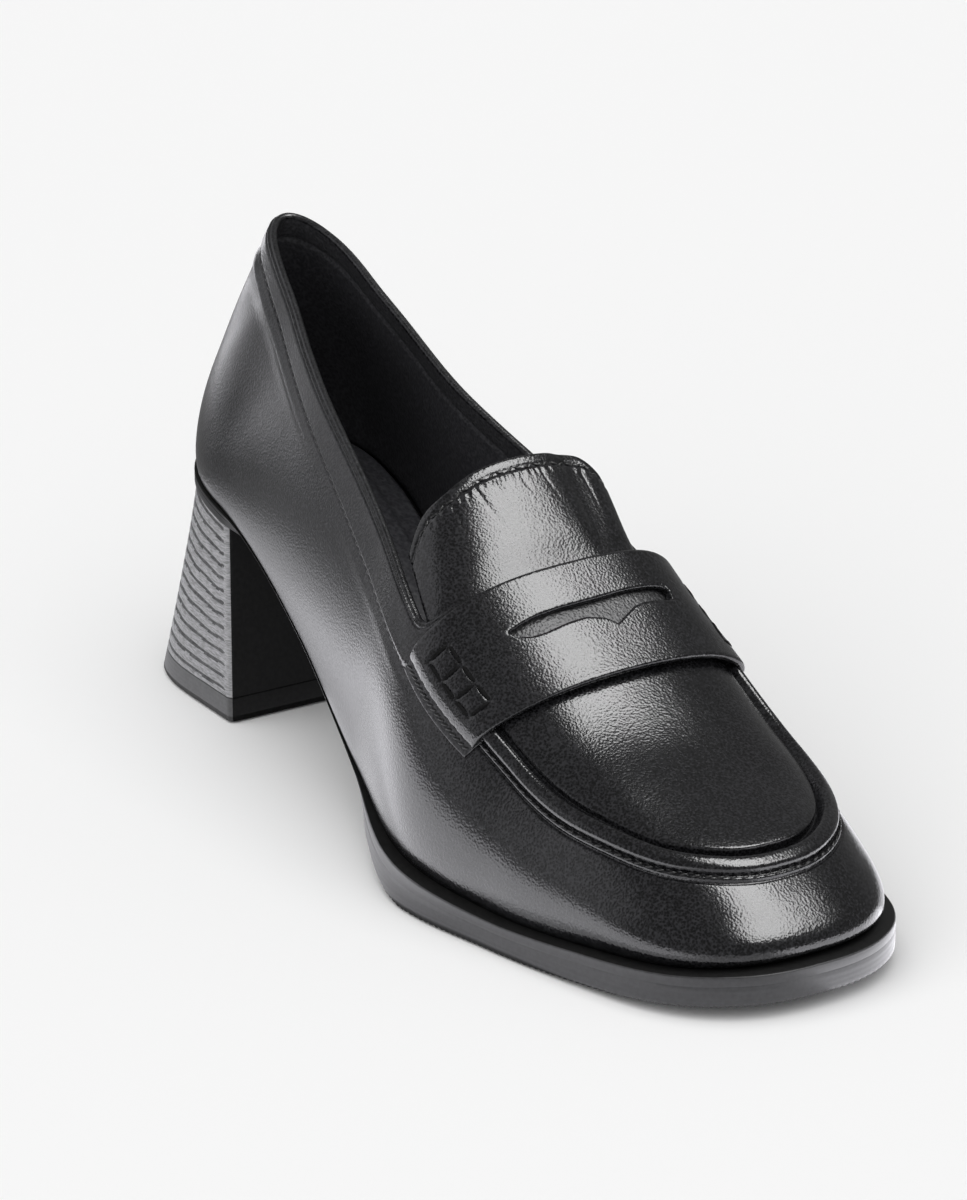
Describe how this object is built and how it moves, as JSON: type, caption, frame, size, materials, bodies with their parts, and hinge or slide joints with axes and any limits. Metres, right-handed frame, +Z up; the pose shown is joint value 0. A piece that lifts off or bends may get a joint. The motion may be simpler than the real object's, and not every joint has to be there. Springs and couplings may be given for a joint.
{
  "type": "block heel penny loafer",
  "caption": "Black leather slip-on pump cut as a penny loafer: raised apron seam, slotted saddle strap, rounded tongue, thick welted forefoot sole and a flared stacked block heel.",
  "frame": {"origin": "middle of the shoe's box, on the floor plane under the sole", "axes": "+X towards the toe, +Y towards the wearer's left, which is the medial side of this right shoe, +Z up"},
  "size_m": [0.247, 0.0882, 0.1152],
  "materials": {
    "upper_leather": "smooth semi-gloss black",
    "tongue_leather": "soft semi-gloss black",
    "strap_leather": "smooth semi-gloss black",
    "insole_sock": "matt black sock",
    "outsole_rubber": "matt dark grey edge",
    "heel_stack": "printed stacked leather look",
    "top_piece_rubber": "matt black"
  },
  "bodies": {
    "root": {"upper": "upper_leather", "tongue": "tongue_leather", "saddle_strap": "strap_leather", "insole": "insole_sock", "outsole": "outsole_rubber", "heel_block": "heel_stack", "top_piece": "top_piece_rubber"}
  },
  "joints": []
}
